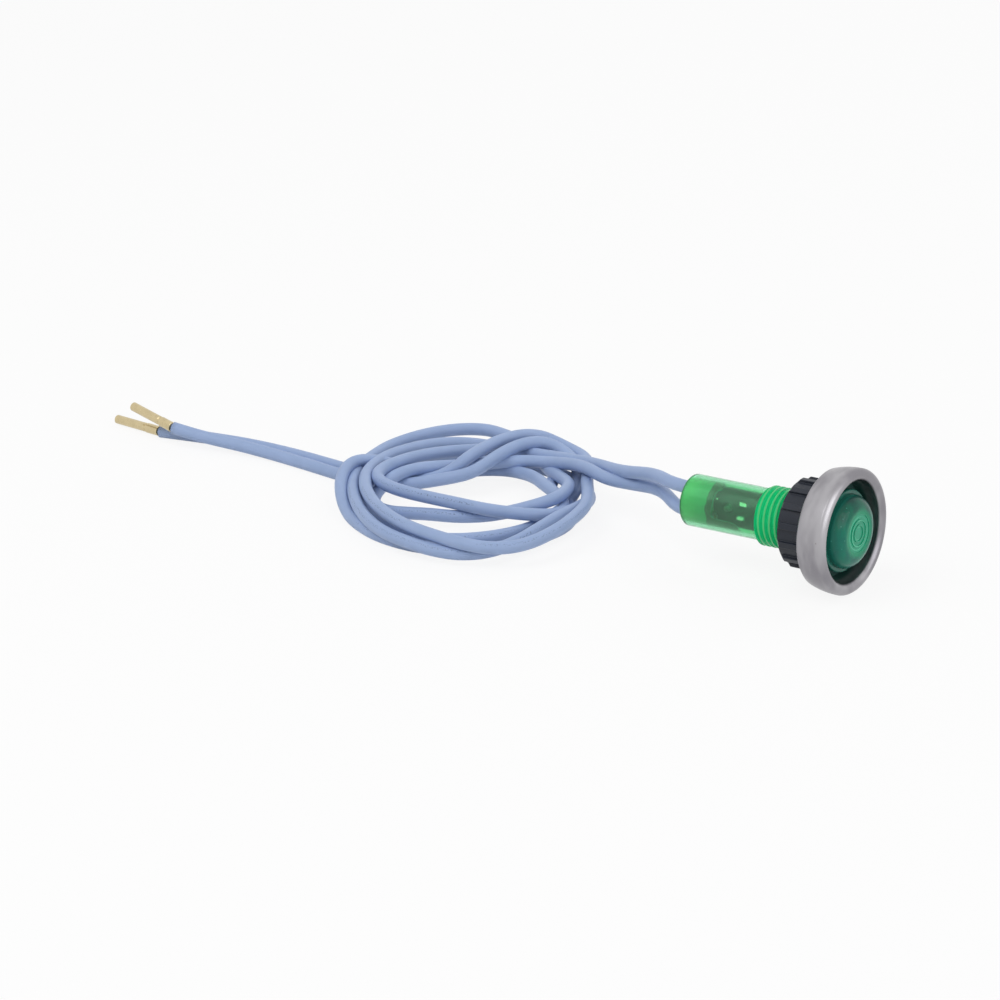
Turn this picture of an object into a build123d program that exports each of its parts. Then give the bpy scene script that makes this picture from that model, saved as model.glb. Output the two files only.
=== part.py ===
# Panel pilot light: a moulded lamp barrel with a clamped bezel, a ribbed nut and two coiled leads.
# The barrel lies along X with the lens towards +X. The panel's face is the plane x = 0.
import os
from math import acos, pi, tan

from build123d import *

os.makedirs("parts", exist_ok=True)

# Fits and clearances
running_clearance = 0.06
sliding_clearance = 0.15
seat_clearance = 0.02

# Bezel, drawn and turned in one piece around the barrel's flange
bezel_gap = 1.45
bezel_wall_lean = 0.52
bezel_bead_radius = 1.19
bezel_depth = 6.42
bezel_taper = 0.8
bezel_rim_width = 1.9
bezel_rim_edge = 0.3
bezel_recess_depth = 0.6
bezel_floor_thickness = 1.2

# Lamp barrel
thread_diameter = 12.0
thread_pitch = 1.25
thread_depth = 0.62
thread_crest_width = 0.34
thread_root_width = 0.24
thread_overcut = 0.3
thread_lead_in = 0.5
thread_rear = -12.9
neck_length = 1.4
body_diameter = 10.4
body_rear = -30.6
body_bore_diameter = 8.8
body_rim_radius = 0.35
flange_diameter = 16.3
flange_thickness = 2.55
flange_edge_radius = 0.3
lens_rim_width = 0.8
lens_seat_depth = 1.4

# Lens
lens_height = 2.85
lens_slope_width = 3.49
lens_flat_recess = 0.12
lens_flat_rim = 0.35
lens_ring_insets = [1.15, 2.2]
lens_ring_width = 0.35
lens_ring_height = 0.16
lens_wall = 1.3
lens_shoulder_height = 0.75
lens_bulge = 0.75

# Nut and washer
nut_thickness = 6.2
nut_land = 0.25
nut_rib_height = 0.6
nut_rib_width = 1.35
nut_rib_count = 14
nut_bevel = 0.6
nut_edge_radius = 0.16
washer_play = 1.7
washer_thickness = 0.6

# Potting and the board in it
potting_length = 6.0
potting_dish = 0.9
potting_shoulder_depth = 0.77
potting_shoulder_radius = 1.97
board_thickness = 0.8
board_width = 7.8
board_embedded = 1.6
board_slot_length = 1.9
board_slot_width = 1.1
board_slot_places = [(7.5, 1.2), (6.8, -1.9)]
board_hole_diameter = 0.8

# Glow lamp
glow_diameter = 5.8
glow_length = 12.4
glow_wall = 0.45
glow_gap = 0.98
glow_stem_length = 3.0
glow_foot_length = 0.8
glow_foot_inset = 0.58
glow_dome_length = 2.03
glow_tip_length = 0.7
glow_tip_radius = 0.8
glow_nib_radius = 0.35
glow_tip_wall = 0.4
electrode_diameter = 0.9
electrode_length = 6.0
electrode_spacing = 2.2
electrode_gap = 0.4
lamp_lead_diameter = 0.5
lamp_lead_overlap = 2.4
lamp_setback = 0.6

# Series resistor
resistor_diameter = 2.3
resistor_waist_diameter = 1.9
resistor_length = 6.4
resistor_cap_length = 1.2
resistor_cap_slope = 0.3
resistor_edge_radius = 0.35
resistor_standoff = 0.1
resistor_bend_radius = 0.7
resistor_tail = 0.3
resistor_span = 10.0
resistor_inset = 3.8
resistor_lead_diameter = 0.55

# Leads
lead_diameter = 2.6
lead_stub = 2.4
lead_exit_upper = 2.7
lead_exit_lower = -2.3
conductor_diameter = 0.95
conductor_length = 3.4
solder_diameter = 1.8
solder_height = 0.8
solder_cover = 0.25
conductor_joint_inset = 0.6
lamp_joint_inset = 1.2
wire_lift = 0.06

# Coil of the two leads
coil_height = 9.9
coil_center = (-86.0, 2.7)
coil_half_length = 36.9
coil_half_width = 26.4
coil_turn = 131.5
coil_opening_center = (-84.0, -3.0)
coil_opening_half_length = 18.0
coil_opening_half_width = 15.0
coil_cross_band = 7.3
coil_cross_place = -7.85
coil_edge = 1.6

# Crimped end pins
pin_length = 13.1
pin_diameter = 1.9
pin_sleeve_diameter = 2.1
pin_sleeve_length = 3.6
pin_mouth_diameter = 1.15
pin_mouth_depth = 6.5
pin_notch_width = 0.55
pin_notch_depth = 0.22
pin_notch_slope = 0.1
pin_edge = 0.12
pin_setback = 0.4

# Places that follow from the sizes above
flange_radius = flange_diameter / 2
lens_seat_radius = flange_radius - lens_rim_width
mouth = flange_radius + bezel_gap
lip = mouth + bezel_wall_lean
crest = lip + 2 * bezel_bead_radius
bead_place = bezel_depth - bezel_bead_radius
rim_outer = crest - bezel_taper
rim_inner = rim_outer - bezel_rim_width
washer_radius = rim_inner - washer_play
nut_valley = washer_radius + nut_land
surface = -crest
lead_rest = surface + lead_diameter / 2 + seat_clearance
lead_radius = lead_diameter / 2
floor_rear = bezel_recess_depth
floor_front = floor_rear + bezel_floor_thickness
flange_front = floor_front + flange_thickness
lens_seat = flange_front - lens_seat_depth
neck_rear = floor_rear - neck_length
washer_rear = floor_rear - washer_thickness
nut_rear = washer_rear - nut_thickness
lens_top = flange_front + lens_height
lens_flat = lens_top - lens_flat_recess
glow_rear = lens_flat - lens_wall - glow_gap - glow_length
board_rear = body_rear + potting_length - board_embedded
board_front = glow_rear - lamp_setback
board_length = board_front - board_rear
resistor_front = board_front - resistor_inset
resistor_rear = resistor_front - resistor_span
lead_side = -(board_thickness + conductor_diameter) / 2 - wire_lift
lead_inner_end = body_rear + lead_stub
lamp_lead_side = -(board_thickness + lamp_lead_diameter) / 2 - wire_lift

# Routes of the leads where they aren't coiled, chosen by hand
lamp_route_upper = [
    (lead_inner_end, lead_side, lead_exit_upper),
    (-36.5, lead_side, lead_exit_upper),
    (-45.5, 6.6, 1.3),
    (-54.5, 12.6, -1.9),
    (-64.5, 19.4, -5.0),
]
lamp_route_lower = [
    (lead_inner_end, lead_side, lead_exit_lower),
    (-34.5, lead_side, lead_exit_lower),
    (-44.0, 5.6, -1.6),
    (-54.0, 12.4, -4.6),
    (-64.5, 19.0, -7.8),
]
tail_route_front = [
    (-109.0, 0.6, lead_rest),
    (-118.5, 1.7, lead_rest),
    (-130.0, 3.8, lead_rest),
    (-143.2, 4.9, lead_rest + 0.35),
    (-152.2, 3.1, lead_rest + 1.3),
    (-156.8, 1.9, lead_rest + 2.05),
    (-161.0, 1.3, lead_rest + 2.75),
]
tail_route_back = [
    (-109.0, 4.2, lead_rest),
    (-119.0, 5.1, lead_rest),
    (-132.4, 7.0, lead_rest),
    (-145.1, 7.5, lead_rest),
    (-155.6, 6.3, lead_rest),
    (-161.5, 5.4, lead_rest),
    (-167.0, 4.4, lead_rest),
]
pin_tip_front = (-173.3, 4.2, lead_rest + 4.3)
pin_tip_back = (-179.8, 6.5, lead_rest - 0.2)


def tube_through(points, diameter):
    """Sweep a round section along straight runs that are joined by tangent arcs."""
    spots = [Vector(*spot) for spot in points]
    radii = []
    for before, corner, after in zip(spots, spots[1:], spots[2:]):
        arrive = corner - before
        leave = after - corner
        turn = acos(max(-1.0, min(1.0, arrive.normalized().dot(leave.normalized()))))
        radii.append(0.45 * min(arrive.length, leave.length) / tan(turn / 2))
    with BuildPart() as tube:
        with BuildLine() as path:
            FilletPolyline(*spots, radius=radii)
        with BuildSketch(Plane(origin=path.line @ 0, z_dir=path.line % 0)):
            Circle(diameter / 2)
        sweep(path=path.line)
    length = path.wire().length
    print("tube radii", [round(radius, 1) for radius in radii], "length", round(length, 2),
          "volume ratio", round(tube.part.volume / (pi * diameter**2 / 4 * length), 4))
    return tube.part


# Bezel: swelling wall, round bead at its front, floor that the flange clamps
with BuildPart() as bezel:
    with BuildSketch(Plane.XY):
        with BuildLine():
            Polyline((bead_place, lip), (floor_front, mouth),
                     (floor_front, thread_diameter / 2 + sliding_clearance),
                     (floor_rear, thread_diameter / 2 + sliding_clearance),
                     (floor_rear, rim_inner), (0, rim_inner), (0, rim_outer - bezel_rim_edge),
                     (bezel_rim_edge, rim_outer))
            TangentArc((bead_place, crest), (bezel_rim_edge, rim_outer), tangent=(-1, 0))
            ThreePointArc((bead_place, crest), (bezel_depth, lip + bezel_bead_radius), (bead_place, lip))
        make_face()
    revolve(axis=Axis.X)
bezel.part.label = "bezel"
export_step(bezel.part, "parts/bezel.step")

# Thread groove: one helical cut that leaves flat crests on the barrel
thread_run = neck_rear - thread_rear + thread_pitch
with BuildPart() as thread_groove:
    with BuildLine() as groove_path:
        Helix(pitch=thread_pitch, height=thread_run, radius=thread_diameter / 2,
              center=(thread_rear - thread_pitch, 0, 0), direction=(1, 0, 0))
    groove_start = groove_path.line @ 0
    with BuildSketch(Plane(origin=groove_start, x_dir=(1, 0, 0), z_dir=groove_path.line % 0)):
        with BuildLine():
            half_mouth = (thread_pitch - thread_crest_width) / 2
            half_root = thread_root_width / 2
            over = half_mouth + thread_overcut / 2
            Polyline((-over, thread_overcut), (over, thread_overcut),
                     (half_root, -thread_depth), (-half_root, -thread_depth), close=True)
        make_face()
    sweep(path=groove_path.line, is_frenet=True)

# Housing: body, thread, neck and flange moulded in one piece, open through the middle
with BuildPart() as housing:
    with BuildSketch(Plane.XY):
        with BuildLine():
            bore = body_bore_diameter / 2
            body = body_diameter / 2
            crest_radius = thread_diameter / 2
            Polyline((body_rear, bore), (body_rear, body), (thread_rear - thread_lead_in, body),
                     (thread_rear, crest_radius), (floor_front, crest_radius),
                     (floor_front, flange_radius), (flange_front, flange_radius),
                     (flange_front, lens_seat_radius), (lens_seat, lens_seat_radius),
                     (lens_seat, bore), close=True)
        make_face()
    revolve(axis=Axis.X)
    rear_rim = housing.edges().filter_by(GeomType.CIRCLE).group_by(Axis.X)[0].sort_by(SortBy.RADIUS)[-1]
    fillet(rear_rim, body_rim_radius)
    front_rim = housing.edges().filter_by(GeomType.CIRCLE).group_by(Axis.X)[-1].sort_by(SortBy.RADIUS)[-1]
    fillet(front_rim, flange_edge_radius)
    add(thread_groove.part, mode=Mode.SUBTRACT)
housing.part.label = "housing"
export_step(housing.part, "parts/housing.step")

# Lens: a hollow plug, domed all round a sunk flat that carries raised rings
lens_radius = lens_seat_radius - running_clearance
flat = lens_radius - lens_slope_width
with BuildPart() as lens:
    with BuildSketch(Plane.XY):
        with BuildLine():
            flat_edge = flat + lens_flat_rim
            flat_inside = lens_flat - lens_wall
            shoulder = Vector(flange_front + lens_shoulder_height, lens_radius)
            brim = Vector(lens_top, flat_edge)
            swell = Vector(shoulder.Y - brim.Y, brim.X - shoulder.X).normalized() * lens_bulge
            ThreePointArc(shoulder, (shoulder + brim) / 2 + swell, brim)
            Polyline(brim, (lens_top, flat), (lens_flat, flat), (lens_flat, 0),
                     (flat_inside, 0), (flat_inside, flat - lens_flat_rim),
                     (flange_front, lens_radius - lens_wall),
                     (lens_seat + seat_clearance, lens_radius - lens_wall),
                     (lens_seat + seat_clearance, lens_radius), shoulder)
        make_face()
    revolve(axis=Axis.X)
    for ring_inset in lens_ring_insets:
        with BuildSketch(Plane.YZ.offset(lens_flat)):
            Circle(flat - ring_inset + lens_ring_width / 2)
            Circle(flat - ring_inset - lens_ring_width / 2, mode=Mode.SUBTRACT)
        extrude(amount=lens_ring_height)
lens.part.label = "lens"
export_step(lens.part, "parts/lens.step")

# Nut: ribbed all round, bevelled at its rear, plain bore that runs over the thread's crests
with BuildPart() as nut:
    with BuildSketch(Plane.YZ.offset(nut_rear)):
        Circle(nut_valley)
        with PolarLocations(nut_valley, nut_rib_count, start_angle=180 / nut_rib_count):
            Rectangle(2 * nut_rib_height, nut_rib_width)
        fillet(vertices(), nut_edge_radius)
        Circle(thread_diameter / 2 + running_clearance, mode=Mode.SUBTRACT)
    extrude(amount=nut_thickness - seat_clearance)
    bevel_radius = nut_valley + nut_rib_height
    with BuildSketch(Plane.XY):
        with BuildLine():
            Polyline((nut_rear, bevel_radius - nut_bevel), (nut_rear + nut_bevel, bevel_radius),
                     (nut_rear + nut_bevel, bevel_radius + 1), (nut_rear, bevel_radius + 1), close=True)
        make_face()
    revolve(axis=Axis.X, mode=Mode.SUBTRACT)
nut.part.label = "nut"
export_step(nut.part, "parts/nut.step")

# Washer that the nut carries ahead of it
with BuildPart() as nut_washer:
    with BuildSketch(Plane.YZ.offset(washer_rear)):
        Circle(washer_radius)
        Circle(thread_diameter / 2 + running_clearance, mode=Mode.SUBTRACT)
    extrude(amount=washer_thickness - seat_clearance)
nut_washer.part.label = "nut_washer"
export_step(nut_washer.part, "parts/nut_washer.step")

# Circuit board with its two slots and the resistor's holes
with BuildPart() as circuit_board:
    with BuildSketch(Plane.XZ.offset(-board_thickness / 2)):
        with Locations(((board_rear + board_front) / 2, 0)):
            Rectangle(board_length, board_width)
        for slot_inset, slot_height in board_slot_places:
            with Locations((board_rear + slot_inset, slot_height)):
                Rectangle(board_slot_length, board_slot_width, mode=Mode.SUBTRACT)
        with Locations((resistor_front, 0), (resistor_rear, 0)):
            Circle(board_hole_diameter / 2, mode=Mode.SUBTRACT)
    extrude(amount=board_thickness)
circuit_board.part.label = "circuit_board"
export_step(circuit_board.part, "parts/circuit_board.step")

# Series resistor behind the board
resistor_side = board_thickness / 2 + resistor_diameter / 2 + resistor_standoff
resistor_middle = (resistor_front + resistor_rear) / 2
resistor_start = resistor_middle - resistor_length / 2
with BuildPart() as resistor:
    with BuildSketch(Plane.XY):
        with BuildLine():
            cap = resistor_diameter / 2
            waist = resistor_waist_diameter / 2
            near_cap = resistor_start + resistor_cap_length
            far_cap = resistor_start + resistor_length - resistor_cap_length
            resistor_end = resistor_start + resistor_length
            Polyline((resistor_start, resistor_side), (resistor_start, resistor_side + cap),
                     (near_cap, resistor_side + cap),
                     (near_cap + resistor_cap_slope, resistor_side + waist),
                     (far_cap - resistor_cap_slope, resistor_side + waist),
                     (far_cap, resistor_side + cap),
                     (resistor_end, resistor_side + cap), (resistor_end, resistor_side), close=True)
        make_face()
    revolve(axis=Axis((0, resistor_side, 0), (1, 0, 0)))
    fillet(resistor.edges().filter_by(GeomType.CIRCLE).group_by(Axis.X)[0], resistor_edge_radius)
    fillet(resistor.edges().filter_by(GeomType.CIRCLE).group_by(Axis.X)[-1], resistor_edge_radius)
resistor.part.label = "resistor"
export_step(resistor.part, "parts/resistor.step")

# Resistor's wires, bent down through the board
with BuildPart() as resistor_leads:
    for body_end, hole_place in [(resistor_start, resistor_rear), (resistor_end, resistor_front)]:
        with BuildLine() as wire_path:
            FilletPolyline((body_end, resistor_side, 0), (hole_place, resistor_side, 0),
                           (hole_place, -board_thickness / 2 - solder_height - resistor_tail, 0),
                           radius=resistor_bend_radius)
        with BuildSketch(Plane(origin=wire_path.line @ 0, z_dir=wire_path.line % 0)):
            Circle(resistor_lead_diameter / 2)
        sweep(path=wire_path.line)
resistor_leads.part.label = "resistor_leads"
export_step(resistor_leads.part, "parts/resistor_leads.step")

# Glow lamp's envelope, hollow, with a drawn tip and a sealed stem
glow_front = glow_rear + glow_length
with BuildPart() as glow_envelope:
    with BuildSketch(Plane.XY):
        with BuildLine():
            outside = glow_diameter / 2
            inside = outside - glow_wall
            dome_start = glow_front - glow_dome_length
            dome_end = glow_front - glow_tip_length
            cavity_end = dome_end - glow_tip_wall
            Polyline((glow_rear, 0), (glow_rear, outside - glow_foot_inset),
                     (glow_rear + glow_foot_length, outside), (dome_start, outside))
            dome = TangentArc((dome_start, outside), (dome_end, glow_tip_radius), tangent=(1, 0))
            Polyline(dome @ 1, (glow_front, glow_nib_radius), (glow_front, 0), (cavity_end, 0))
            cavity = TangentArc((dome_start, inside), (cavity_end, glow_tip_radius - glow_tip_wall),
                                tangent=(1, 0))
            Line((cavity_end, 0), cavity @ 1)
            Polyline(cavity @ 0, (glow_rear + glow_stem_length, inside),
                     (glow_rear + glow_stem_length, 0), (glow_rear, 0))
        make_face()
    revolve(axis=Axis.X)
    with BuildSketch(Plane.YZ.offset(glow_rear)):
        with Locations((lamp_lead_side, electrode_spacing / 2), (lamp_lead_side, -electrode_spacing / 2)):
            Circle(lamp_lead_diameter / 2 + seat_clearance)
    extrude(amount=glow_stem_length, mode=Mode.SUBTRACT)
glow_envelope.part.label = "glow_envelope"
export_step(glow_envelope.part, "parts/glow_envelope.step")

# Electrodes and their wires back to the board
electrode_rear = glow_rear + glow_stem_length + electrode_gap
for place_name, side in [("upper", 1), ("lower", -1)]:
    height = side * electrode_spacing / 2
    with BuildPart() as electrode:
        with BuildSketch(Plane.YZ.offset(electrode_rear)):
            with Locations((lamp_lead_side, height)):
                Circle(electrode_diameter / 2)
        extrude(amount=electrode_length)
    electrode.part.label = "electrode_" + place_name
    export_step(electrode.part, "parts/electrode_" + place_name + ".step")
    with BuildPart() as lamp_lead:
        with BuildSketch(Plane.YZ.offset(board_front - lamp_lead_overlap)):
            with Locations((lamp_lead_side, height)):
                Circle(lamp_lead_diameter / 2)
        extrude(amount=electrode_rear - board_front + lamp_lead_overlap)
    lamp_lead.part.label = "lamp_lead_" + place_name
    export_step(lamp_lead.part, "parts/lamp_lead_" + place_name + ".step")

# Stripped conductors, each straight out of its lead and along the board's near face
conductor_end = lead_inner_end + conductor_length
for place_name, height in [("upper", lead_exit_upper), ("lower", lead_exit_lower)]:
    with BuildPart() as conductor:
        with BuildSketch(Plane.YZ.offset(lead_inner_end)):
            with Locations((lead_side, height)):
                Circle(conductor_diameter / 2)
        extrude(amount=conductor_length)
    conductor.part.label = "conductor_" + place_name
    export_step(conductor.part, "parts/conductor_" + place_name + ".step")

# Solder joints on the board's near face, each a cone that the wire passes through
conductor_joint = conductor_end - conductor_joint_inset
lamp_joint = board_front - lamp_joint_inset
wire_places = [(conductor_joint, lead_exit_upper, lead_side, conductor_diameter),
               (conductor_joint, lead_exit_lower, lead_side, conductor_diameter),
               (lamp_joint, electrode_spacing / 2, lamp_lead_side, lamp_lead_diameter),
               (lamp_joint, -electrode_spacing / 2, lamp_lead_side, lamp_lead_diameter)]
board_face = -board_thickness / 2
with BuildPart() as solder_joints:
    for along, height, side, wire in wire_places:
        cover = wire_lift + wire + solder_cover
        with Locations(Location((along, board_face - cover / 2, height), (90, 0, 0))):
            Cone(solder_diameter / 2, solder_diameter / 3, cover)
        with Locations(Location((along, side, height), (0, 90, 0))):
            Cylinder(wire / 2, 2 * solder_diameter, mode=Mode.SUBTRACT)
    for along in (resistor_front, resistor_rear):
        with Locations(Location((along, board_face - solder_height / 2, 0), (90, 0, 0))):
            Cone(solder_diameter / 2, solder_diameter / 3, solder_height)
            Cylinder(resistor_lead_diameter / 2, solder_height, mode=Mode.SUBTRACT)
solder_joints.part.label = "solder_joints"
export_step(solder_joints.part, "parts/solder_joints.step")

# Potting: fills the barrel's rear end, dished in front, around board, conductors and leads
potting_front = body_rear + potting_length
with BuildPart() as potting:
    with BuildSketch(Plane.XY):
        with BuildLine():
            wall = body_bore_diameter / 2 - seat_clearance
            Polyline((potting_front - potting_dish, 0), (body_rear, 0), (body_rear, wall),
                     (potting_front, wall))
            ThreePointArc((potting_front, wall),
                          (potting_front - potting_shoulder_depth, potting_shoulder_radius),
                          (potting_front - potting_dish, 0))
        make_face()
    revolve(axis=Axis.X)
    with Locations((board_rear + board_length / 2, 0, 0)):
        Box(board_length, board_thickness, board_width + 2, mode=Mode.SUBTRACT)
    with BuildSketch(Plane.YZ.offset(body_rear)):
        with Locations((lead_side, lead_exit_upper), (lead_side, lead_exit_lower)):
            Circle(lead_radius + seat_clearance)
    extrude(amount=lead_stub, mode=Mode.SUBTRACT)
    with BuildSketch(Plane.YZ.offset(lead_inner_end)):
        with Locations((lead_side, lead_exit_upper), (lead_side, lead_exit_lower)):
            Circle(conductor_diameter / 2)
    extrude(amount=potting_length, mode=Mode.SUBTRACT)
    add(solder_joints.part, mode=Mode.SUBTRACT)
potting.part.label = "potting"
export_step(potting.part, "parts/potting.step")

# Coil: one solid of the laid turns' outer shape, a ring with a band of turns across it
with BuildPart() as lead_coil:
    with BuildSketch(Plane.XY.offset(surface)):
        with Locations(coil_center):
            Ellipse(coil_half_length, coil_half_width, rotation=coil_turn)
        with Locations(coil_opening_center):
            Ellipse(coil_opening_half_length, coil_opening_half_width, mode=Mode.SUBTRACT)
        with Locations((coil_opening_center[0], coil_cross_place)):
            Rectangle(2 * coil_opening_half_length, coil_cross_band)
    extrude(amount=coil_height)
    coil_top = lead_coil.faces().sort_by(Axis.Z)[-1]
    chamfer(coil_top.outer_wire().edges(), coil_edge)
lead_coil.part.label = "lead_coil"
export_step(lead_coil.part, "parts/lead_coil.step")

# Leads where they aren't coiled, each ending on the coil's outer face
for lead_name, route in [("lead_lamp_upper", lamp_route_upper), ("lead_lamp_lower", lamp_route_lower),
                         ("lead_tail_front", tail_route_front), ("lead_tail_back", tail_route_back)]:
    lead_tube = tube_through(route, lead_diameter)
    with BuildPart() as lead:
        add(lead_tube)
        add(lead_coil.part, mode=Mode.SUBTRACT)
    lead.part.label = lead_name
    export_step(lead.part, "parts/" + lead_name + ".step")

# End pins: crimped sleeve, notch, hollow tip
for pin_name, route, tip in [("pin_front", tail_route_front, pin_tip_front),
                             ("pin_back", tail_route_back, pin_tip_back)]:
    pin_direction = (Vector(*tip) - Vector(*route[-1])).normalized()
    pin_start = Vector(*route[-1]) + pin_direction * pin_setback
    pin_plane = Plane(origin=pin_start, x_dir=pin_direction, z_dir=pin_direction.cross(Vector(0, 0, 1)))
    with BuildPart() as pin:
        with BuildSketch(pin_plane):
            with BuildLine():
                sleeve = pin_sleeve_diameter / 2
                shank = pin_diameter / 2
                mouth_radius = pin_mouth_diameter / 2
                notch = pin_sleeve_length + pin_notch_width
                Polyline((0, 0), (0, sleeve - pin_edge), (pin_edge, sleeve),
                         (pin_sleeve_length - pin_edge, sleeve),
                         (pin_sleeve_length + pin_notch_slope, shank - pin_notch_depth),
                         (notch - pin_notch_slope, shank - pin_notch_depth), (notch + pin_edge, shank),
                         (pin_length - pin_edge, shank), (pin_length, shank - pin_edge),
                         (pin_length, mouth_radius), (pin_length - pin_mouth_depth, mouth_radius),
                         (pin_length - pin_mouth_depth, 0), close=True)
            make_face()
        revolve(axis=Axis(pin_start, pin_direction))
    pin.part.label = pin_name
    export_step(pin.part, "parts/" + pin_name + ".step")
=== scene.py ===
import math

import bmesh
import bpy
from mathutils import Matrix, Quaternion, Vector


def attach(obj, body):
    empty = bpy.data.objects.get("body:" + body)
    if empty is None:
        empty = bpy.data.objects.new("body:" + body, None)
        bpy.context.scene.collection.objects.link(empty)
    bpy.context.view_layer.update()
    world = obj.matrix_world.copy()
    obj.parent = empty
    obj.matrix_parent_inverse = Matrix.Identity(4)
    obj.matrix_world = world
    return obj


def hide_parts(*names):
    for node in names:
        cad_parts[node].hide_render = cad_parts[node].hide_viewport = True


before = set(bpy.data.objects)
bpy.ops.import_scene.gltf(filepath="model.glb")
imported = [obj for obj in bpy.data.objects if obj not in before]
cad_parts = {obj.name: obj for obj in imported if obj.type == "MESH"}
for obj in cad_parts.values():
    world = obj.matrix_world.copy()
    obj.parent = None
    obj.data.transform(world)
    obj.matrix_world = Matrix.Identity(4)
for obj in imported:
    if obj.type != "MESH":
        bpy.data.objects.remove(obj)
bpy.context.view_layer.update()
mm = 0.001
bpy.ops.object.select_all(action="DESELECT")
print("frame loaded:", len(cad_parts), "pieces")


# Camera: about a metre away, low and to the lens side
cameraSetup = {
    "azimuth": 31,
    "elevation": 20,
    "distance": 1000,
    "aim": (-54.05, -32.6, 5.57),
    "roll": -1.295,
    "lens": 186.1,
    "sensor": 36,
}


def makeCamera():
    turn = math.radians(cameraSetup["azimuth"])
    lift = math.radians(cameraSetup["elevation"])
    away = Vector((math.sin(turn) * math.cos(lift), -math.cos(turn) * math.cos(lift), math.sin(lift)))
    data = bpy.data.cameras.new("camera")
    data.lens = cameraSetup["lens"]
    data.sensor_width = cameraSetup["sensor"]
    data.clip_start = 0.05
    data.clip_end = 20
    camera = bpy.data.objects.new("camera", data)
    bpy.context.scene.collection.objects.link(camera)
    camera.location = away * cameraSetup["distance"] * mm
    look = Vector(cameraSetup["aim"]) * mm - camera.location
    camera.rotation_mode = "QUATERNION"
    roll = Quaternion((0, 0, 1), math.radians(cameraSetup["roll"]))
    camera.rotation_quaternion = look.to_track_quat("-Z", "Y") @ roll
    bpy.context.scene.camera = camera
    return camera


makeCamera()


# Leads: each runs out of the barrel, three times round the loose coil and on to its pin
leadSetup = {
    "diameter": 2.6,
    "surface": -12.5,
    "clearance": 0.02,
    "barrelRear": -30.6,
    "quarterSteps": 6,
    "ringSides": 24,
    "pathSteps": 5,
}
leadRest = leadSetup["surface"] + leadSetup["diameter"] / 2 + leadSetup["clearance"]

lampRouteUpper = [
    (-28.2, -0.935, 2.7),
    (-34.5, -0.935, 2.7),
    (-43.27, 6.06, 1.25),
    (-54.98, 12.18, -2.4),
    (-65.42, 19.12, -4.84),
    (-70.75, 21.6, -5.83),
]
lampRouteLower = [
    (-28.2, -0.935, -2.3),
    (-33.5, -0.935, -2.3),
    (-43.22, 8.66, -2.76),
    (-52.83, 11.61, -4.32),
    (-59.43, 12.36, -4.68),
    (-67.23, 16.05, -4.28),
]
tailRouteBack = [
    (-119.0, 5.1, leadRest),
    (-132.4, 7.0, leadRest),
    (-145.1, 7.5, leadRest),
    (-155.6, 6.3, leadRest),
    (-161.5, 5.4, leadRest),
    (-167.0, 4.4, leadRest),
]
tailRouteFront = [
    (-118.5, 1.7, leadRest),
    (-130.0, 3.8, leadRest),
    (-143.2, 4.9, leadRest + 0.35),
    (-152.2, 3.1, leadRest + 1.3),
    (-156.8, 1.9, leadRest + 2.05),
    (-161.0, 1.3, leadRest + 2.75),
]

# Each turn by its far, left, near and right ends: x, y, height of the lead above the surface there,
# height half-way to the next end, and how far that quarter bulges out of an ellipse
turnsUpper = [
    (-85.6, 24.4, 3.62, 3.38, 0.053),
    (-104.6, 2.3, 4.68, 4.13, 0.180),
    (-80.4, -9.7, 4.13, 3.42, 0.027),
    (-62.7, 1.2, 2.08, 3.09, -0.199),
    (-88.4, 19.1, 1.17, 0.93, -0.344),
    (-112.8, -0.8, 4.77, 0.00, -0.066),
    (-82.0, -25.4, 0.00, 0.06, 0.022),
    (-59.5, -1.2, 0.70, 0.98, -0.320),
    (-88.1, 30.9, 0.00, 2.36, 0.093),
    (-109.7, 6.1, 3.94, 3.95, -0.046),
    (-70.8, -27.2, 3.72, 2.84, 0.056),
    (-54.7, -9.2, 4.29, 3.90, -0.168),
    (-82.1, 32.6, 2.99, 6.08, 0.094),
    (-92.1, 9.9, 5.48, 1.45, -0.058),
    (-109.0, 4.2, 0.00, 0.00, 0.000),
]
turnsLower = [
    (-78.5, 21.2, 3.86, 3.02, -0.126),
    (-102.6, 0.0, 3.23, 0.00, 0.249),
    (-86.0, -11.7, 1.43, 1.75, -0.206),
    (-63.8, 2.9, 4.91, 2.23, -0.175),
    (-101.6, 34.5, 2.67, 2.95, -0.025),
    (-115.2, 13.0, 2.62, 2.49, -0.063),
    (-77.5, -28.5, 1.70, 1.00, 0.109),
    (-60.1, -2.7, 3.28, 0.00, 0.032),
    (-87.5, 26.5, 0.00, 0.03, 0.252),
    (-108.5, 2.9, 1.67, 0.81, 0.008),
    (-80.9, -20.1, 0.15, 0.82, 0.093),
    (-65.9, -0.9, 0.00, 1.15, -0.034),
    (-80.8, 28.3, 4.09, 5.98, 0.069),
    (-88.2, 9.5, 4.42, 1.93, -0.123),
    (-109.0, 0.6, 0.00, 0.00, 0.000),
]


def smoothHeight(heights, place):
    first = min(int(place), len(heights) - 2)
    part = place - first
    near = [heights[max(0, min(len(heights) - 1, first + step))] for step in (-1, 0, 1, 2)]
    linear = near[2] - near[0]
    square = 2 * near[0] - 5 * near[1] + 4 * near[2] - near[3]
    cube = -near[0] + 3 * near[1] - 3 * near[2] + near[3]
    return 0.5 * (2 * near[1] + linear * part + square * part**2 + cube * part**3)


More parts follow.
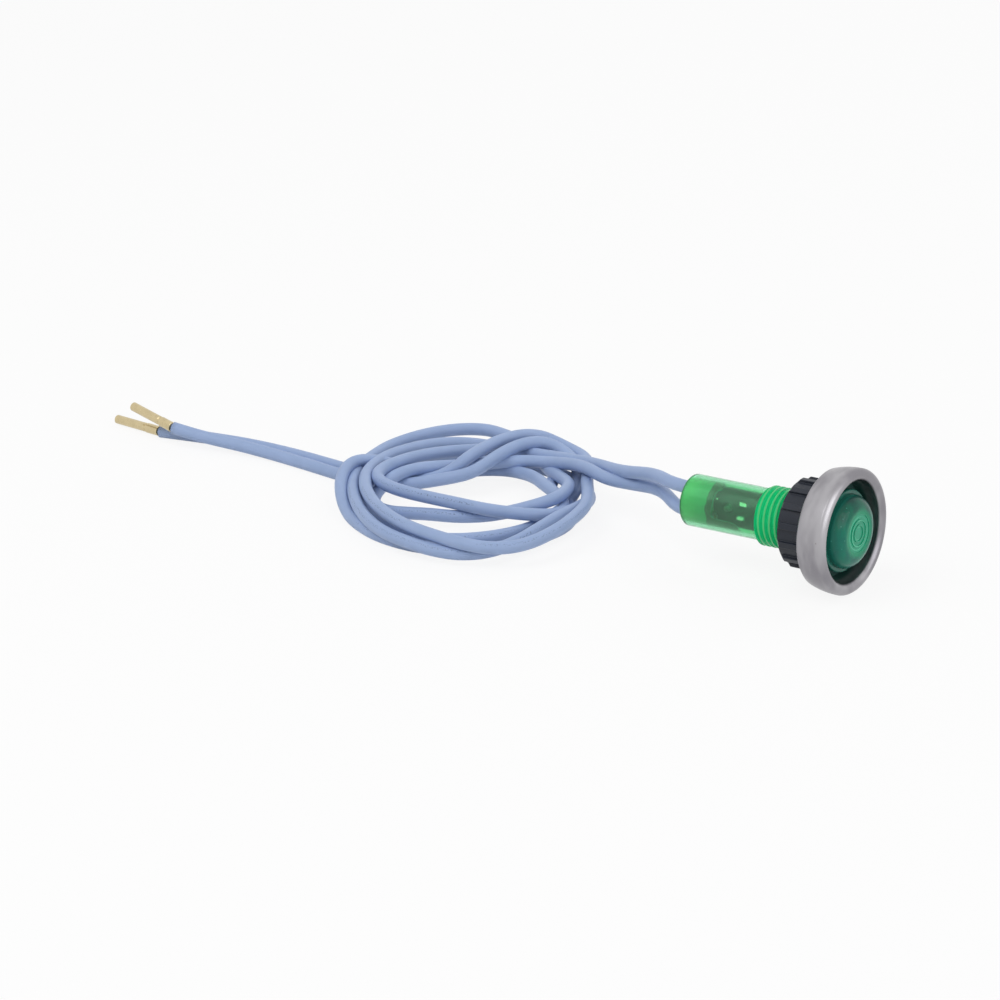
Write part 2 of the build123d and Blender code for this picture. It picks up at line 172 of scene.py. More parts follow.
def coilTurns(ends):
    heights = []
    for end in ends:
        heights += [end[2], end[3]]
    heights = heights[:-1]
    steps = leadSetup["quarterSteps"]
    spots = []
    for index in range(len(ends) - 1):
        here, there = ends[index], ends[index + 1]
        middle = (here[0], there[1]) if index % 2 == 0 else (there[0], here[1])
        for step in range(steps):
            angle = math.pi / 2 * step / steps
            swell = 1 + here[4] * math.sin(2 * angle) ** 2
            cosine, sine = math.cos(angle) * swell, math.sin(angle) * swell
            x = middle[0] + cosine * (here[0] - middle[0]) + sine * (there[0] - middle[0])
            y = middle[1] + cosine * (here[1] - middle[1]) + sine * (there[1] - middle[1])
            height = smoothHeight(heights, 2 * index + 2 * step / steps)
            spots.append((x, y, leadRest + max(0, height)))
    spots.append((ends[-1][0], ends[-1][1], leadRest + ends[-1][2]))
    return spots


def leadCurve(name, route):
    data = bpy.data.curves.new(name, "CURVE")
    data.dimensions = "3D"
    spline = data.splines.new("NURBS")
    spline.points.add(len(route) - 1)
    for point, spot in zip(spline.points, route):
        point.co = (spot[0] * mm, spot[1] * mm, spot[2] * mm, 1)
    spline.order_u = 3
    spline.use_endpoint_u = True
    data.resolution_u = leadSetup["pathSteps"]
    curve = bpy.data.objects.new(name, data)
    bpy.context.scene.collection.objects.link(curve)
    return curve


def leadPath(name, route):
    curve = leadCurve(name + "Line", route)
    line = bpy.data.meshes.new_from_object(curve)
    path = [vertex.co.copy() for vertex in line.vertices]
    bpy.data.meshes.remove(line)
    bpy.data.objects.remove(curve)
    return path


def leadTube(name, path):
    sides = leadSetup["ringSides"]
    radius = leadSetup["diameter"] / 2 * mm
    shape = bmesh.new()
    around = shape.loops.layers.uv.new("alongAndAround")
    rings = []
    travelled = []
    run = 0.0
    for index, spot in enumerate(path):
        before = path[max(0, index - 1)]
        after = path[min(len(path) - 1, index + 1)]
        run += (spot - before).length
        heading = (after - before).normalized()
        right = heading.cross(Vector((0, 0, 1))).normalized()
        top = right.cross(heading)
        ring = []
        for side in range(sides):
            angle = 2 * math.pi * side / sides
            ring.append(shape.verts.new(spot + (top * math.cos(angle) + right * math.sin(angle)) * radius))
        rings.append(ring)
        travelled.append(run)
    for index in range(len(rings) - 1):
        for side in range(sides):
            follow = (side + 1) % sides
            here, there = rings[index], rings[index + 1]
            face = shape.faces.new([here[side], here[follow], there[follow], there[side]])
            face.smooth = True
            for loop, (place, part) in zip(face.loops, ((index, side), (index, side + 1),
                                                        (index + 1, side + 1), (index + 1, side))):
                loop[around].uv = (travelled[place] / mm, part / sides)
    shape.faces.new(list(reversed(rings[0])))
    shape.faces.new(rings[-1])
    bmesh.ops.recalc_face_normals(shape, faces=shape.faces)
    data = bpy.data.meshes.new(name)
    shape.to_mesh(data)
    shape.free()
    tube = bpy.data.objects.new(name, data)
    bpy.context.scene.collection.objects.link(tube)
    return tube, travelled[-1]


def makeLead(name, route, nodes):
    path = leadPath(name, route)
    tube, length = leadTube(name, path)
    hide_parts(*nodes)
    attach(tube, "lamp")
    print(name, "length in mm", round(length / mm, 1))
    return tube


leadUpper = makeLead("leadUpper", lampRouteUpper + coilTurns(turnsUpper) + tailRouteBack,
                     ["lead_lamp_upper", "lead_tail_back", "lead_coil"])
leadLower = makeLead("leadLower", lampRouteLower + coilTurns(turnsLower) + tailRouteFront,
                     ["lead_lamp_lower", "lead_tail_front"])


# Resin smeared on the barrel's wall ahead of the potting, with its raised edge, and small pale glowing blocks
# that paint the light coming through in places
filmSetup = {
    "radius": 4.33,
    "thickness": 0.03,
    "rear": -25.3,
    "front": -17.4,
    "sides": 150,
    "rings": 32,
    "lowAngle": -75,
    "highAngle": 120,
    "edgeRadius": 0.075,
}
filmOutline = [
    (105, -24.0), (95, -23.6), (84, -23.2), (74, -22.8), (64, -22.5), (58, -23.3), (51, -23.55), (34, -23.45),
    (15, -23.5), (-2, -23.7), (-10, -23.6), (-15, -23.1), (-17, -22.3), (-17, -20.9), (-17.5, -19.3),
    (-20, -18.4), (-28, -17.75), (-44, -17.8), (-58, -18.4),
]


def outlineFront(angle):
    spots = filmOutline
    if angle >= spots[0][0]:
        return spots[0][1]
    for near, far in zip(spots, spots[1:]):
        if far[0] <= angle < near[0]:
            share = (near[0] - angle) / (near[0] - far[0])
            return near[1] + share * (far[1] - near[1])
    return spots[-1][1]


def makeResinFilm():
    setup = filmSetup
    bpy.ops.object.select_all(action="DESELECT")
    length = (setup["front"] - setup["rear"]) * mm
    middle = (setup["front"] + setup["rear"]) / 2 * mm
    bpy.ops.mesh.primitive_cylinder_add(vertices=setup["sides"], radius=setup["radius"] * mm, depth=length,
                                        end_fill_type="NOTHING", location=(middle, 0, 0),
                                        rotation=(0, math.pi / 2, 0))
    film = bpy.context.object
    film.name = "resinFilm"
    bpy.ops.object.transform_apply(location=True, rotation=True, scale=True)
    bpy.ops.object.mode_set(mode="EDIT")
    for ring in range(1, setup["rings"]):
        bpy.ops.mesh.select_all(action="SELECT")
        place = setup["rear"] * mm + length * ring / setup["rings"]
        bpy.ops.mesh.bisect(plane_co=(place, 0, 0), plane_no=(1, 0, 0))
    bpy.ops.mesh.select_all(action="DESELECT")
    bpy.ops.object.mode_set(mode="OBJECT")
    for face in film.data.polygons:
        spot = face.center / mm
        angle = math.degrees(math.atan2(spot.z, -spot.y))
        covered = setup["lowAngle"] < angle < setup["highAngle"]
        face.select = not covered or spot.x > outlineFront(angle)
    bpy.ops.object.mode_set(mode="EDIT")
    bpy.ops.mesh.delete(type="FACE")
    bpy.ops.object.mode_set(mode="OBJECT")
    thicken = film.modifiers.new("thickness", "SOLIDIFY")
    thicken.thickness = setup["thickness"] * mm
    thicken.offset = -1
    bpy.ops.object.modifier_apply(modifier=thicken.name)
    bpy.ops.object.mode_set(mode="EDIT")
    bpy.ops.mesh.select_all(action="SELECT")
    bpy.ops.mesh.normals_make_consistent(inside=False)
    bpy.ops.object.mode_set(mode="OBJECT")
    film.data.shade_smooth()
    return film


def makeResinEdge():
    setup = filmSetup
    bpy.ops.object.select_all(action="DESELECT")
    bpy.ops.curve.primitive_nurbs_path_add(location=(0, 0, 0))
    edge = bpy.context.object
    edge.name = "resinEdge"
    spots = filmOutline[4:-1]
    data = edge.data
    data.splines.clear()
    spline = data.splines.new("NURBS")
    spline.points.add(len(spots) - 1)
    reach = setup["radius"] - setup["edgeRadius"]
    for point, (angle, along) in zip(spline.points, spots):
        turn = math.radians(angle)
        point.co = (along * mm, -reach * math.cos(turn) * mm, reach * math.sin(turn) * mm, 1)
    spline.order_u = 3
    spline.use_endpoint_u = True
    data.resolution_u = 6
    data.bevel_depth = setup["edgeRadius"] * mm
    data.bevel_resolution = 2
    data.use_fill_caps = True
    bpy.ops.object.convert(target="MESH")
    return bpy.context.object


# Window blocks: pale, faintly glowing pieces that paint light coming through the barrel
windowSetup = {
    "edge": 0.03,
    "upperWindow": {"place": (-18.6, -0.46, 1.2), "size": (1.5, 0.1, 0.7)},
    "lowerWindow": {"place": (-19.35, -0.46, -1.85), "size": (1.4, 0.1, 0.55)},
    "smallSpot": {"place": (-22.65, -3.42, 2.55), "size": (0.28, 0.16, 0.2)},
}


def makeWindow(name):
    place, size = windowSetup[name]["place"], windowSetup[name]["size"]
    bpy.ops.object.select_all(action="DESELECT")
    bpy.ops.mesh.primitive_cube_add(size=1, location=[part * mm for part in place],
                                    scale=[part * mm for part in size])
    window = bpy.context.object
    window.name = name
    bpy.ops.object.transform_apply(location=True, rotation=True, scale=True)
    bpy.ops.object.mode_set(mode="EDIT")
    bpy.ops.mesh.select_all(action="SELECT")
    bpy.ops.mesh.bevel(offset=windowSetup["edge"] * mm, segments=2)
    bpy.ops.object.mode_set(mode="OBJECT")
    return window


resinFilm = makeResinFilm()
resinEdge = makeResinEdge()
upperWindow = makeWindow("upperWindow")
lowerWindow = makeWindow("lowerWindow")
smallSpot = makeWindow("smallSpot")
insidePieces = [resinFilm, resinEdge, upperWindow, lowerWindow, smallSpot]
for piece in insidePieces:
    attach(piece, "lamp")
print("pieces inside the barrel are made")


# Materials, each a node tree on Object coordinates unless a note says otherwise
def newMaterial(name, color, roughness=0.4, metallic=0.0, **sockets):
    material = bpy.data.materials.new(name)
    material.use_nodes = True
    shader = material.node_tree.nodes["Principled BSDF"]
    shader.inputs["Base Color"].default_value = (*color, 1)
    shader.inputs["Roughness"].default_value = roughness
    shader.inputs["Metallic"].default_value = metallic
    for socket, value in sockets.items():
        shader.inputs[socket.replace("_", " ")].default_value = value
    return material


def addNode(material, kind, **values):
    node = material.node_tree.nodes.new(kind)
    for key, value in values.items():
        setattr(node, key, value)
    return node


def plug(material, socket, value):
    if isinstance(value, bpy.types.NodeSocket):
        material.node_tree.links.new(value, socket)
    elif isinstance(value, tuple) and len(value) == 3 and socket.type == "RGBA":
        socket.default_value = (*value, 1)
    else:
        socket.default_value = value


def mathOn(material, operation, first, second=0.0):
    node = addNode(material, "ShaderNodeMath", operation=operation)
    plug(material, node.inputs[0], first)
    plug(material, node.inputs[1], second)
    return node.outputs[0]


def ramped(material, value, low, high):
    node = addNode(material, "ShaderNodeMapRange", interpolation_type="SMOOTHSTEP")
    plug(material, node.inputs["Value"], value)
    node.inputs["From Min"].default_value = low
    node.inputs["From Max"].default_value = high
    return node.outputs["Result"]


def mixed(material, share, first, second):
    node = addNode(material, "ShaderNodeMix", data_type="RGBA")
    plug(material, node.inputs[0], share)
    plug(material, node.inputs[6], first)
    plug(material, node.inputs[7], second)
    return node.outputs[2]


def objectPlace(material, scale=(1, 1, 1), shift=(0, 0, 0)):
    place = addNode(material, "ShaderNodeTexCoord")
    mapping = addNode(material, "ShaderNodeMapping")
    mapping.inputs["Location"].default_value = shift
    mapping.inputs["Scale"].default_value = scale
    material.node_tree.links.new(place.outputs["Object"], mapping.inputs["Vector"])
    return mapping.outputs["Vector"]


def axisPlace(material):
    place = addNode(material, "ShaderNodeTexCoord")
    split = addNode(material, "ShaderNodeSeparateXYZ")
    material.node_tree.links.new(place.outputs["Object"], split.inputs[0])
    along, side, height = split.outputs
    squares = mathOn(material, "ADD", mathOn(material, "MULTIPLY", side, side),
                     mathOn(material, "MULTIPLY", height, height))
    return along, side, height, mathOn(material, "SQRT", squares)


def addNoise(material, vector, scale, detail=3, roughness=0.5):
    noise = addNode(material, "ShaderNodeTexNoise")
    noise.inputs["Scale"].default_value = scale
    noise.inputs["Detail"].default_value = detail
    noise.inputs["Roughness"].default_value = roughness
    material.node_tree.links.new(vector, noise.inputs["Vector"])
    return noise.outputs["Fac"]


def addSpots(material, vector, scale, size):
    cells = addNode(material, "ShaderNodeTexVoronoi")
    cells.inputs["Scale"].default_value = scale
    material.node_tree.links.new(vector, cells.inputs["Vector"])
    return ramped(material, cells.outputs["Distance"], size, size * 0.3)


def linkTo(material, socket, value):
    shader = material.node_tree.nodes["Principled BSDF"]
    material.node_tree.links.new(value, shader.inputs[socket])


def linkBump(material, height, strength, distance):
    bump = addNode(material, "ShaderNodeBump")
    bump.inputs["Strength"].default_value = strength
    bump.inputs["Distance"].default_value = distance
    material.node_tree.links.new(height, bump.inputs["Height"])
    linkTo(material, "Normal", bump.outputs["Normal"])


def giveMaterial(material, *pieces):
    for piece in pieces:
        piece.data.materials.clear()
        piece.data.materials.append(material)


def cadPieces(*names):
    return [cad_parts[name] for name in names]


# Silicone leads: soft blue with faint mottling and runs of small dark dots along one side
siliconeSetup = {
    "dark": (0.285, 0.385, 0.60),
    "light": (0.345, 0.445, 0.68),
    "dot": (0.10, 0.13, 0.22),
    "dotPlace": 0.13,
    "dotHeight": 0.035,
    "dotShare": 0.6,
}


def siliconeFinish():
    setup = siliconeSetup
    material = newMaterial("lightBlueSilicone", setup["light"], 0.48, Specular_IOR_Level=0.35)
    place = objectPlace(material)
    tone = mixed(material, addNoise(material, place, 260, 4), setup["dark"], setup["light"])
    around = addNode(material, "ShaderNodeUVMap", uv_map="alongAndAround")
    split = addNode(material, "ShaderNodeSeparateXYZ")
    material.node_tree.links.new(around.outputs["UV"], split.inputs[0])
    along, turn = split.outputs[0], split.outputs[1]
    offCentre = mathOn(material, "ABSOLUTE", mathOn(material, "SUBTRACT", turn, setup["dotPlace"]))
    band = ramped(material, offCentre, setup["dotHeight"], setup["dotHeight"] * 0.7)
    marks = addNode(material, "ShaderNodeCombineXYZ")
    plug(material, marks.inputs[0], along)
    plug(material, marks.inputs[1], mathOn(material, "MULTIPLY", turn, 9.0))
    dots = addNoise(material, marks.outputs[0], 2.6, 2, 0.7)
    dots = ramped(material, dots, 0.52, 0.60)
    runs = addNode(material, "ShaderNodeCombineXYZ")
    plug(material, runs.inputs[0], along)
    stretch = ramped(material, addNoise(material, runs.outputs[0], 0.045, 0), 0.47, 0.52)
    dark = mathOn(material, "MULTIPLY", mathOn(material, "MULTIPLY", band, dots), stretch)
    dark = mathOn(material, "MULTIPLY", dark, setup["dotShare"])
    linkTo(material, "Base Color", mixed(material, dark, tone, setup["dot"]))
    linkBump(material, addNoise(material, place, 1600, 3), 0.06, 0.0001)
    return material


giveMaterial(siliconeFinish(), leadUpper, leadLower)


# Bezel: satin metal with fine turning marks and broad patches of painted darker reflection, its mouth painted
# dark green as a reflection of the lens
bezelSetup = {
    "metal": (0.42, 0.41, 0.43),
    "paintedDarkReflection": (0.255, 0.246, 0.268),
    "mouth": (0.020, 0.085, 0.072),
    "mouthRadius": (10.9, 10.5),
    "mouthPlace": (5.1, 2.9),
    "floorPlace": 0.7,
    "pit": (0.14, 0.10, 0.09),
}


def bezelFinish():
    setup = bezelSetup
    material = newMaterial("satinBezel", setup["metal"], 0.36, 1.0)
    place = objectPlace(material)
    along, _, _, radius = axisPlace(material)
    # Broad darker patches in the metal's colour: painted reflection variation
    cloud = ramped(material, addNoise(material, objectPlace(material, (2.2, 1, 0.7)), 95, 3), 0.36, 0.66)
    tone = mixed(material, cloud, setup["paintedDarkReflection"], setup["metal"])
    pits = addSpots(material, place, 330, 0.08)
    tone = mixed(material, mathOn(material, "MULTIPLY", pits, 0.5), tone, setup["pit"])
    # Inside the mouth the colour turns dark green and less metallic: a painted reflection of the lens
    inside = ramped(material, radius, setup["mouthRadius"][0] * mm, setup["mouthRadius"][1] * mm)
    ahead = ramped(material, along, setup["floorPlace"] * mm, (setup["floorPlace"] + 0.3) * mm)
    deep = ramped(material, along, setup["mouthPlace"][0] * mm, setup["mouthPlace"][1] * mm)
    mouth = mathOn(material, "MULTIPLY", mathOn(material, "MULTIPLY", inside, ahead), deep)
    linkTo(material, "Base Color", mixed(material, mouth, tone, setup["mouth"]))
    linkTo(material, "Metallic", mathOn(material, "SUBTRACT", 1.0, mathOn(material, "MULTIPLY", mouth, 0.6)))
    linkTo(material, "Roughness", mathOn(material, "ADD", mathOn(
        material, "MULTIPLY", addNoise(material, place, 320, 5), 0.2), 0.24))
    turned = addNode(material, "ShaderNodeCombineXYZ")
    plug(material, turned.inputs[0], along)
    plug(material, turned.inputs[1], radius)
    linkBump(material, addNoise(material, turned.outputs[0], 5200, 2), 0.06, 0.00003)
    return material


giveMaterial(bezelFinish(), *cadPieces("bezel"))


# Nut and its washer: dark moulded plastic with a soft sheen
def mouldedBlack(name, color, roughness):
    material = newMaterial(name, color, roughness, Specular_IOR_Level=0.36)
    place = objectPlace(material)
    lighter = tuple(1.5 * part for part in color)
    linkTo(material, "Base Color", mixed(material, addNoise(material, place, 500, 4), color, lighter))
    linkTo(material, "Roughness", mathOn(material, "ADD", mathOn(
        material, "MULTIPLY", addNoise(material, place, 900, 3), 0.2), roughness - 0.1))
    linkBump(material, addNoise(material, place, 2600, 2), 0.12, 0.00004)
    return material


giveMaterial(mouldedBlack("blackNut", (0.010, 0.013, 0.021), 0.40), *cadPieces("nut"))
giveMaterial(mouldedBlack("blackWasher", (0.012, 0.012, 0.014), 0.6), *cadPieces("nut_washer"))


# Barrel: clear green plastic, deeper and less clear at the thread and the flange, with painted highlight
# lines along the thread crests
barrelSetup = {
    "clear": (0.27, 0.80, 0.45),
    "thread": (0.018, 0.74, 0.30),
    "crest": (0.09, 0.62, 0.21),
    "flange": (0.014, 0.15, 0.11),
    "rearRim": (0.05, 0.34, 0.26),
    "threadPlace": (-13.5, -12.9),
    "flangePlace": (-0.4, 0.4),
    "rimPlace": (-30.42, -30.56),
    "crestRadius": (5.95, 5.995),
}


def barrelFinish():
    setup = barrelSetup
    material = newMaterial("clearGreenBarrel", setup["clear"], 0.12, IOR=1.46, Specular_IOR_Level=0.3)
    place = objectPlace(material)
    along, _, _, radius = axisPlace(material)
    thread = ramped(material, along, setup["threadPlace"][0] * mm, setup["threadPlace"][1] * mm)
    flange = ramped(material, along, setup["flangePlace"][0] * mm, setup["flangePlace"][1] * mm)
    # The outermost crests of the thread get a pale line: a painted highlight
    crest = ramped(material, radius, setup["crestRadius"][0] * mm, setup["crestRadius"][1] * mm)
    deep = mixed(material, crest, setup["thread"], setup["crest"])
    deep = mixed(material, flange, deep, setup["flange"])
    rim = ramped(material, along, setup["rimPlace"][0] * mm, setup["rimPlace"][1] * mm)
    shell = mixed(material, rim, setup["clear"], setup["rearRim"])
    linkTo(material, "Base Color", mixed(material, thread, shell, deep))
    linkTo(material, "Transmission Weight", mathOn(material, "SUBTRACT", 0.94, mathOn(
        material, "MULTIPLY", thread, 0.84)))
    linkTo(material, "Roughness", mathOn(material, "ADD", mathOn(
        material, "MULTIPLY", addNoise(material, place, 600, 3), 0.12), 0.06))
    linkBump(material, addNoise(material, place, 420, 2), 0.08, 0.00008)
    return material


giveMaterial(barrelFinish(), *cadPieces("housing"))


# Lens: deep green with painted shade towards its top, a painted glow that brightens it round its flat, tiny
# bubbles and painted highlight rings
lensSetup = {
    "cone": (0.010, 0.165, 0.125),
    "upper": (0.012, 0.085, 0.070),
    "shoulder": (0.02, 0.21, 0.155),
    "glow": (0.008, 0.33, 0.165),
    "flat": (0.030, 0.40, 0.23),
    "paintedRingHighlight": (0.10, 0.62, 0.36),
    "bubble": (0.10, 0.45, 0.36),
    "flatRadius": (3.75, 3.95),
    "glowRadius": (5.3, 3.9),
    "rings": (3.3, 2.55, 1.25),
    "ringWidth": 0.13,
    "base": (7.0, 7.35),
}


def lensFinish():
    setup = lensSetup
    material = newMaterial("greenLens", setup["cone"], 0.10, IOR=1.46, Transmission_Weight=0.10,
                           Specular_IOR_Level=0.18, Coat_Weight=0.06, Coat_Roughness=0.03)
    place = objectPlace(material)
    _, side, height, radius = axisPlace(material)
    # Darker towards the top of the lens: painted shade
    tone = mixed(material, ramped(material, height, 1.0 * mm, 5.5 * mm), setup["cone"], setup["upper"])
    cloud = ramped(material, addNoise(material, objectPlace(material, (1, 1, 0.6)), 260, 3), 0.35, 0.7)
    tone = mixed(material, mathOn(material, "MULTIPLY", cloud, 0.35), tone, setup["glow"])
    tone = mixed(material, ramped(material, radius, setup["base"][0] * mm, setup["base"][1] * mm),
                 tone, setup["shoulder"])
    # Brighter green round the flat and brightest on it: painted glow of light through the lens
    tone = mixed(material, ramped(material, radius, setup["glowRadius"][0] * mm, setup["glowRadius"][1] * mm),
                 tone, setup["glow"])
    tone = mixed(material, ramped(material, radius, setup["flatRadius"][1] * mm, setup["flatRadius"][0] * mm),
                 tone, setup["flat"])
    # Fine pale rings on the flat, broken up by noise: painted highlights on the ring steps
    shifted = objectPlace(material, shift=(0, 0.002, 0))
    sweep = ramped(material, addNoise(material, shifted, 230, 1), 0.38, 0.58)
    for ring in setup["rings"]:
        away = mathOn(material, "ABSOLUTE", mathOn(material, "SUBTRACT", radius, ring * mm))
        line = ramped(material, away, setup["ringWidth"] * mm, setup["ringWidth"] * mm * 0.3)
        tone = mixed(material, mathOn(material, "MULTIPLY", line, sweep), tone, setup["paintedRingHighlight"])
    nearSide = ramped(material, side, 0.0, -2.5 * mm)
    offFlat = ramped(material, radius, 4.0 * mm, 4.4 * mm)
    bubbles = mathOn(material, "MULTIPLY", addSpots(material, place, 900, 0.16), mathOn(
        material, "MULTIPLY", nearSide, offFlat))
    tone = mixed(material, mathOn(material, "MULTIPLY", bubbles, 0.7), tone, setup["bubble"])
    linkTo(material, "Base Color", tone)
    linkBump(material, addNoise(material, place, 300, 3), 0.05, 0.0001)
    return material


giveMaterial(lensFinish(), *cadPieces("lens"))


# Potting: light green resin with a painted highlight low at its rear, darker and brownish along its ragged
# front
pottingSetup = {
    "light": (0.52, 0.84, 0.46),
    "deep": (0.22, 0.60, 0.38),
    "paintedLowHighlight": (0.95, 0.97, 0.62),
    "front": (0.22, 0.17, 0.17),
    "frontPlace": -24.95,
    "ragged": 1.5,
}


def pottingFinish():
    setup = pottingSetup
    material = newMaterial("greenPotting", setup["light"], 0.45)
    along, _, height, _ = axisPlace(material)
    tone = mixed(material, ramped(material, along, -30.5 * mm, -25.0 * mm), setup["light"], setup["deep"])
    # Pale yellow-green low on the rear part: a painted highlight
    paintedLowHighlight = mathOn(material, "MULTIPLY", ramped(material, height, 1.5 * mm, -1.5 * mm), ramped(
        material, along, -26.5 * mm, -30.0 * mm))
    tone = mixed(material, mathOn(material, "MULTIPLY", paintedLowHighlight, 0.6), tone, setup["paintedLowHighlight"])
    uneven = addNoise(material, objectPlace(material, (0, 1, 1)), 380, 3, 0.6)
    ragged = mathOn(material, "MULTIPLY", mathOn(
        material, "SUBTRACT", uneven, 0.5), setup["ragged"] * mm)
    edge = mathOn(material, "ADD", along, ragged)
    front = ramped(material, edge, setup["frontPlace"] * mm, (setup["frontPlace"] + 0.08) * mm)
    linkTo(material, "Base Color", mixed(material, front, tone, setup["front"]))
    return material


giveMaterial(pottingFinish(), *cadPieces("potting"))


# What lies inside the barrel
insideSetup = {
    "board": {"base": (0.12, 0.13, 0.19), "dark": (0.030, 0.034, 0.050), "light": (0.065, 0.062, 0.075)},
    "film": {"base": (0.20, 0.13, 0.13), "dark": (0.10, 0.085, 0.085), "light": (0.42, 0.24, 0.22)},
    "edge": {"dark": (0.10, 0.40, 0.42), "light": (0.22, 0.62, 0.62)},
    # Window colour and emission: painted light coming through
    "window": {"dark": (0.75, 0.88, 0.62), "light": (0.98, 1.0, 0.80), "glow": 0.5},
}


def boardFinish():
    setup = insideSetup["board"]
    material = newMaterial("darkBoard", setup["base"], 0.5)
    tone = addNoise(material, objectPlace(material), 240, 4)
    linkTo(material, "Base Color", mixed(material, tone, setup["dark"], setup["light"]))
    return material


giveMaterial(boardFinish(), *cadPieces("circuit_board"))


def filmFinish():
    setup = insideSetup["film"]
    material = newMaterial("resinFilm", setup["base"], 0.35, Transmission_Weight=0.35,
                           Specular_IOR_Level=0.2)
    place = objectPlace(material)
    tone = mixed(material, addNoise(material, place, 520, 4, 0.6), setup["dark"], setup["light"])
    linkTo(material, "Base Color", tone)
    linkBump(material, addNoise(material, place, 900, 3), 0.2, 0.0001)
    return material


def edgeFinish(name, setup):
    material = newMaterial(name, setup["light"], 0.3, Emission_Strength=setup.get("glow", 0.0))
    shader = material.node_tree.nodes["Principled BSDF"]
    shader.inputs["Emission Color"].default_value = (*setup["light"], 1)
    tone = addNoise(material, objectPlace(material), 700, 3)
    linkTo(material, "Base Color", mixed(material, tone, setup["dark"], setup["light"]))
    return material


giveMaterial(filmFinish(), resinFilm)
giveMaterial(edgeFinish("resinEdge", insideSetup["edge"]), resinEdge)
giveMaterial(edgeFinish("lightWindow", insideSetup["window"]), upperWindow, lowerWindow, smallSpot)


resistorSetup = {
    "coat": (0.42, 0.34, 0.22),
    "bandEdge": (0.34, 0.28),
    "bands": [
        (-18.9, (0.30, 0.06, 0.03)),
        (-17.6, (0.06, 0.05, 0.05)),
        (-16.3, (0.55, 0.38, 0.05)),
    ],
}


def resistorFinish():
    setup = resistorSetup
    material = newMaterial("resistorCoat", setup["coat"], 0.4)
    along = axisPlace(material)[0]
    tone = setup["coat"]
    outer, inner = setup["bandEdge"]
    for band, color in setup["bands"]:
        away = mathOn(material, "ABSOLUTE", mathOn(material, "SUBTRACT", along, band * mm))
        tone = mixed(material, ramped(material, away, outer * mm, inner * mm), tone, color)
    linkTo(material, "Base Color", tone)
    return material


giveMaterial(resistorFinish(), *cadPieces("resistor"))
giveMaterial(newMaterial("lampGlass", (0.9, 0.95, 0.92), 0.04, Transmission_Weight=0.95),
             *cadPieces("glow_envelope"))


# Bare metals
def bareMetal(name, color, roughness, wear):
    material = newMaterial(name, color, roughness, 1.0)
    place = objectPlace(material)
    duller = tuple(0.7 * part for part in color)
    linkTo(material, "Base Color", mixed(material, addNoise(material, place, wear, 4), duller, color))
    linkTo(material, "Roughness", mathOn(material, "ADD", mathOn(
        material, "MULTIPLY", addNoise(material, place, wear * 2, 3), 0.2), roughness - 0.1))
    linkBump(material, addNoise(material, place, wear * 4, 2), 0.08, 0.00004)
    return material


giveMaterial(bareMetal("pinBrass", (0.72, 0.60, 0.36), 0.30, 700), *cadPieces("pin_front", "pin_back"))
giveMaterial(bareMetal("nickelWire", (0.55, 0.54, 0.50), 0.35, 900), *cadPieces(
    "electrode_upper", "electrode_lower", "lamp_lead_upper", "lamp_lead_lower", "resistor_leads"))
giveMaterial(bareMetal("solderTin", (0.60, 0.60, 0.62), 0.32, 1200), *cadPieces("solder_joints"))
giveMaterial(bareMetal("strandedCopper", (0.70, 0.36, 0.20), 0.4, 1500),
             *cadPieces("conductor_upper", "conductor_lower"))
print("materials are on")


# Stage: pale floor and soft lamps, white wherever the camera, a gloss or a clear piece sees past the object
stageSetup = {
    "floor": (0.86, 0.86, 0.86),
    "floorSize": 6,
    "floorGlow": 0.88,
    "worldFill": 0.34,
    "lampAim": (-0.05, 0, 0),
}
seenRays = ["Is Camera Ray", "Is Glossy Ray", "Is Transmission Ray"]


def seenShare(tree, names):
    rays = tree.nodes.new("ShaderNodeLightPath")
    share = rays.outputs[names[0]]
    for name in names[1:]:
        most = tree.nodes.new("ShaderNodeMath")
        most.operation = "MAXIMUM"
        tree.links.new(share, most.inputs[0])
        tree.links.new(rays.outputs[name], most.inputs[1])
        share = most.outputs[0]
    return share


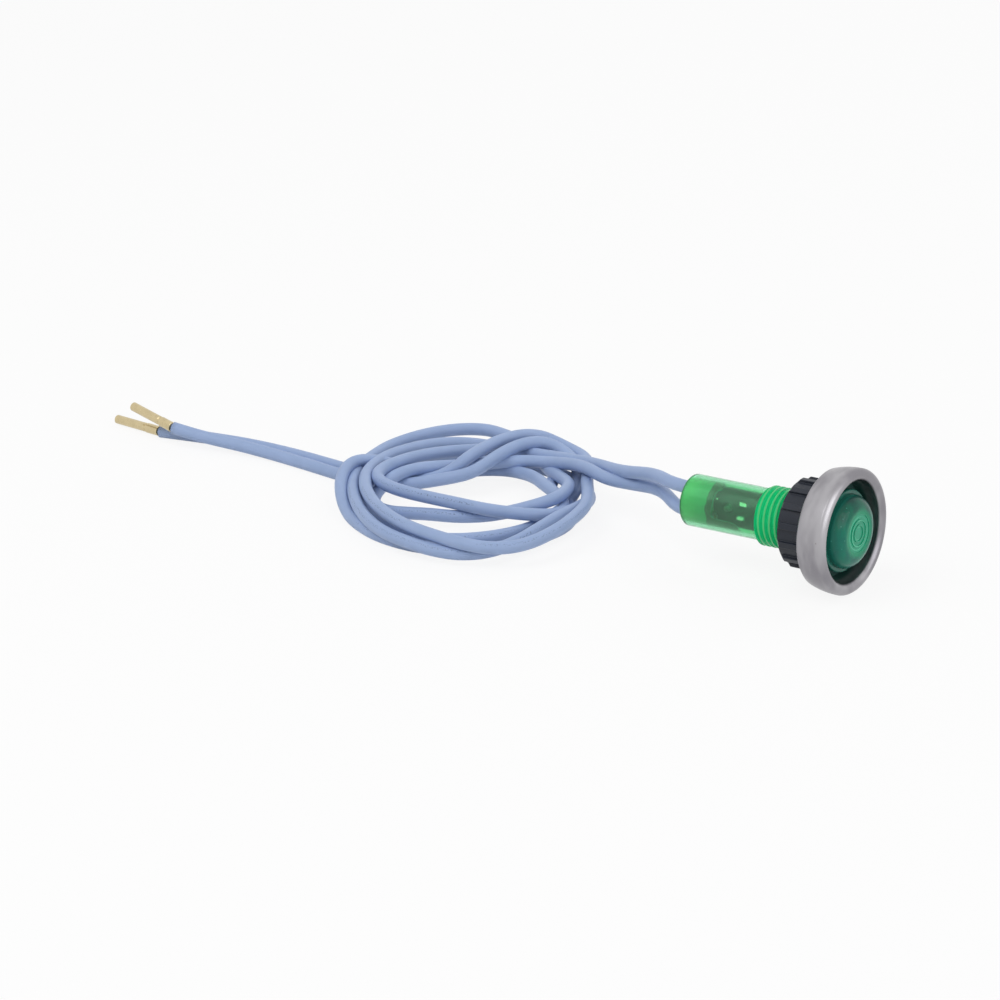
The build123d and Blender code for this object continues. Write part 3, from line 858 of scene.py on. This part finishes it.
def makeStage():
    bpy.ops.mesh.primitive_plane_add(size=stageSetup["floorSize"], location=(0, 0, leadSetup["surface"] * mm))
    floor = bpy.context.object
    floor.name = "floor"
    material = newMaterial("paleFloor", stageSetup["floor"], 0.9)
    tree = material.node_tree
    glow = addNode(material, "ShaderNodeEmission")
    mix = addNode(material, "ShaderNodeMixShader")
    share = seenShare(tree, seenRays)
    tree.links.new(mathOn(material, "MULTIPLY", share, stageSetup["floorGlow"]), mix.inputs["Fac"])
    tree.links.new(tree.nodes["Principled BSDF"].outputs[0], mix.inputs[1])
    tree.links.new(glow.outputs[0], mix.inputs[2])
    tree.links.new(mix.outputs[0], tree.nodes["Material Output"].inputs["Surface"])
    giveMaterial(material, floor)
    world = bpy.data.worlds.new("studio")
    world.use_nodes = True
    bpy.context.scene.world = world
    tree = world.node_tree
    background = tree.nodes["Background"]
    background.inputs["Color"].default_value = (1, 1, 1, 1)
    level = tree.nodes.new("ShaderNodeMapRange")
    level.inputs["To Min"].default_value = stageSetup["worldFill"]
    level.inputs["To Max"].default_value = 1.0
    tree.links.new(seenShare(tree, seenRays), level.inputs["Value"])
    tree.links.new(level.outputs["Result"], background.inputs["Strength"])


lampSetup = [
    {"name": "keyLight", "place": (-0.30, -0.45, 0.80), "size": 0.9, "power": 4.2, "gloss": False},
    {"name": "sheenLight", "place": (-0.22, -0.55, 0.62), "size": 0.35, "power": 0.35},
    {"name": "fillLight", "place": (0.7, -0.3, 0.5), "size": 0.8, "power": 1.8},
    {"name": "backLight", "place": (0.0, 0.7, 0.6), "size": 0.9, "power": 2.0, "gloss": False},
    {"name": "sideLight", "place": (0.75, 0.1, 0.25), "size": 0.5, "power": 0.7},
]


def makeLights():
    for setup in lampSetup:
        data = bpy.data.lights.new(setup["name"], "AREA")
        data.shape = "DISK"
        data.size = setup["size"]
        data.energy = setup["power"]
        light = bpy.data.objects.new(setup["name"], data)
        bpy.context.scene.collection.objects.link(light)
        light.location = setup["place"]
        light.visible_glossy = setup.get("gloss", True)
        aim = Vector(stageSetup["lampAim"]) - light.location
        light.rotation_euler = aim.to_track_quat("-Z", "Y").to_euler()


makeStage()
makeLights()
bpy.context.scene.view_settings.view_transform = "Standard"
print("stage, lights and materials are in place")
